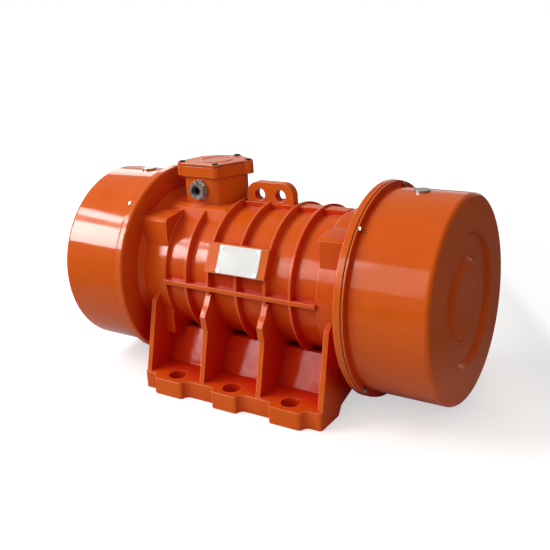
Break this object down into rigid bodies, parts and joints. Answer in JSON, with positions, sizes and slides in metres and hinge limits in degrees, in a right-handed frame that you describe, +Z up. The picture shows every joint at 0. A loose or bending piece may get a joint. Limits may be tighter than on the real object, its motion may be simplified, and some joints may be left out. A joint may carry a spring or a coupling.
{
  "type": "vibration motor",
  "caption": "Foot-mounted electric vibration motor: ribbed casting between two drum-shaped end covers, slotted feet with webs, junction box and lifting lug on top.",
  "frame": {"origin": "middle of the foot plane, under the middle of the motor axis", "axes": "+X along the motor axis away from the junction box end, -Y towards the nameplate side, +Z up"},
  "size_m": [0.864, 0.446, 0.468],
  "materials": {
    "casting_enamel": "glossy orange-red enamel over cast iron",
    "sheet_enamel": "glossy orange-red enamel over sheet steel",
    "zinc_plate": "zinc-plated fasteners",
    "dark_oxide": "black-oxide screws",
    "nickel_plate": "nickel-plated brass",
    "plate_aluminium": "bare satin aluminium",
    "black_rubber": "matt rubber and gasket sheet",
    "bright_steel": "turned and ground steel",
    "bearing_steel": "polished bearing steel",
    "machined_brass": "machined brass",
    "copper_winding": "varnished copper windings",
    "core_laminations": "stacked electrical sheet",
    "cast_aluminium": "die-cast aluminium",
    "raw_iron": "bare cast iron",
    "board_plastic": "moulded terminal board"
  },
  "bodies": {
    "stator": {"housing": "casting_enamel", "junction_box": "casting_enamel", "junction_box_lid": "casting_enamel", "lifting_lug": "casting_enamel", "lid_bolts": "dark_oxide", "junction_box_screws": "zinc_plate", "terminal_board_screws": "zinc_plate", "nameplate_rivets": "zinc_plate", "cable_gland_body": "nickel_plate", "cable_gland_nut": "nickel_plate", "cable_gland_seal": "black_rubber", "lid_gasket": "black_rubber", "junction_box_gasket": "black_rubber", "nameplate": "plate_aluminium", "terminal_board": "board_plastic", "terminal_studs": "machined_brass", "stator_core": "core_laminations", "stator_windings": "copper_winding", "left_cover": "sheet_enamel", "left_cover_plug": "nickel_plate", "left_cover_screws": "zinc_plate", "left_shield_screws": "zinc_plate", "left_cap_screws": "zinc_plate", "left_cover_gasket": "black_rubber", "left_end_shield": "raw_iron", "left_bearing_cap": "raw_iron", "left_bearing_outer_ring": "bearing_steel", "right_cover": "sheet_enamel", "right_cover_plug": "nickel_plate", "right_cover_screws": "zinc_plate", "right_shield_screws": "zinc_plate", "right_cap_screws": "zinc_plate", "right_cover_gasket": "black_rubber", "right_end_shield": "raw_iron", "right_bearing_cap": "raw_iron", "right_bearing_outer_ring": "bearing_steel"},
    "rotor": {"shaft": "bright_steel", "rotor_core": "core_laminations", "rotor_cage": "cast_aluminium", "left_bearing_inner_ring": "bearing_steel", "left_seal_ring": "bright_steel", "left_inner_weight": "raw_iron", "left_inner_weight_key": "bright_steel", "left_inner_weight_bolt": "zinc_plate", "left_shaft_nut": "bright_steel", "right_bearing_inner_ring": "bearing_steel", "right_seal_ring": "bright_steel", "right_inner_weight": "raw_iron", "right_inner_weight_key": "bright_steel", "right_inner_weight_bolt": "zinc_plate", "right_shaft_nut": "bright_steel"},
    "left_outer_weight": {"left_outer_weight": "raw_iron", "left_outer_weight_bolt": "zinc_plate"},
    "left_roller_cage": {"left_rollers": "bearing_steel", "left_roller_cage": "machined_brass"},
    "right_outer_weight": {"right_outer_weight": "raw_iron", "right_outer_weight_bolt": "zinc_plate"},
    "right_roller_cage": {"right_rollers": "bearing_steel", "right_roller_cage": "machined_brass"}
  },
  "joints": [
    {"name": "rotor_spin", "type": "hinge", "parent": "stator", "child": "rotor", "pos_m": [0, 0, 0.228], "axis": [1, 0, 0], "continuous": true},
    {"name": "left_weight_setting", "type": "hinge", "parent": "rotor", "child": "left_outer_weight", "pos_m": [-0.371, 0, 0.228], "axis": [1, 0, 0], "range_deg": [0, 180]},
    {"name": "left_cage_turn", "type": "hinge", "parent": "stator", "child": "left_roller_cage", "pos_m": [-0.234, 0, 0.228], "axis": [1, 0, 0], "continuous": true},
    {"name": "right_weight_setting", "type": "hinge", "parent": "rotor", "child": "right_outer_weight", "pos_m": [0.371, 0, 0.228], "axis": [1, 0, 0], "range_deg": [0, 180]},
    {"name": "right_cage_turn", "type": "hinge", "parent": "stator", "child": "right_roller_cage", "pos_m": [0.234, 0, 0.228], "axis": [1, 0, 0], "continuous": true}
  ],
  "couplings": [
    {"joint": "left_cage_turn", "follows": "rotor_spin", "ratio": 0.412},
    {"joint": "right_cage_turn", "follows": "rotor_spin", "ratio": 0.412}
  ]
}
